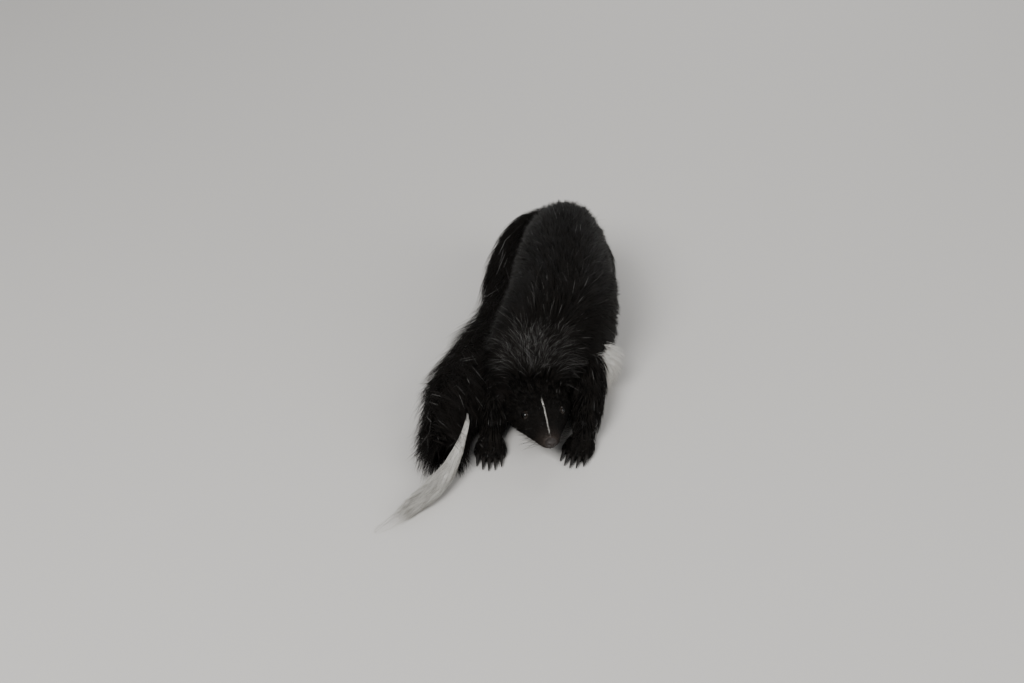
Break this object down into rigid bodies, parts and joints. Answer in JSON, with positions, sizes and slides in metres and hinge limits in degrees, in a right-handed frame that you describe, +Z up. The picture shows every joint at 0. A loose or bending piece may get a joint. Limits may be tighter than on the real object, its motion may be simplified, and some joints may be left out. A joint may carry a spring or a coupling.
{
  "type": "striped skunk, still life-size model",
  "caption": "Striped skunk crouching low, head low and turned a little to its left, bushy tail laid forward along its right side and ending in a long white tuft.",
  "frame": {"origin": "middle of the underside of the bounding box, on the floor the animal rests on", "axes": "+Z up, -Y ahead of the animal, +X to the animal's left"},
  "size_m": [0.194, 0.375, 0.1094],
  "materials": {
    "black_coat": "black coat, a little glossy along the hairs",
    "white_coat": "coarse white hair",
    "ear_skin": "short dark down over skin",
    "eye": "wet gloss",
    "nose_skin": "damp, finely pebbled skin",
    "claw_horn": "smooth horn"
  },
  "bodies": {
    "root": {"nose": "nose_skin", "eye_right": "eye", "eye_left": "eye", "foreclaw_right_1": "claw_horn", "foreclaw_right_2": "claw_horn", "foreclaw_right_3": "claw_horn", "foreclaw_right_4": "claw_horn", "foreclaw_right_5": "claw_horn", "foreclaw_left_1": "claw_horn", "foreclaw_left_2": "claw_horn", "foreclaw_left_3": "claw_horn", "foreclaw_left_4": "claw_horn", "foreclaw_left_5": "claw_horn", "hindclaw_right_1": "claw_horn", "hindclaw_right_2": "claw_horn", "hindclaw_right_3": "claw_horn", "hindclaw_right_4": "claw_horn", "hindclaw_right_5": "claw_horn", "hindclaw_left_1": "claw_horn", "hindclaw_left_2": "claw_horn", "hindclaw_left_3": "claw_horn", "hindclaw_left_4": "claw_horn", "hindclaw_left_5": "claw_horn", "head": "black_coat", "ear_right": "ear_skin", "ear_left": "ear_skin", "forefoot_right": "black_coat", "forefoot_left": "black_coat", "hindfoot_right": "black_coat", "hindfoot_left": "black_coat", "neck": "black_coat", "torso": "black_coat", "foreleg_right": "black_coat", "foreleg_left": "black_coat", "hindleg_right": "black_coat", "hindleg_left": "black_coat", "tail_tip": "white_coat", "tail_base": "black_coat", "tail_middle": "black_coat", "tail_end": "black_coat"}
  },
  "joints": []
}
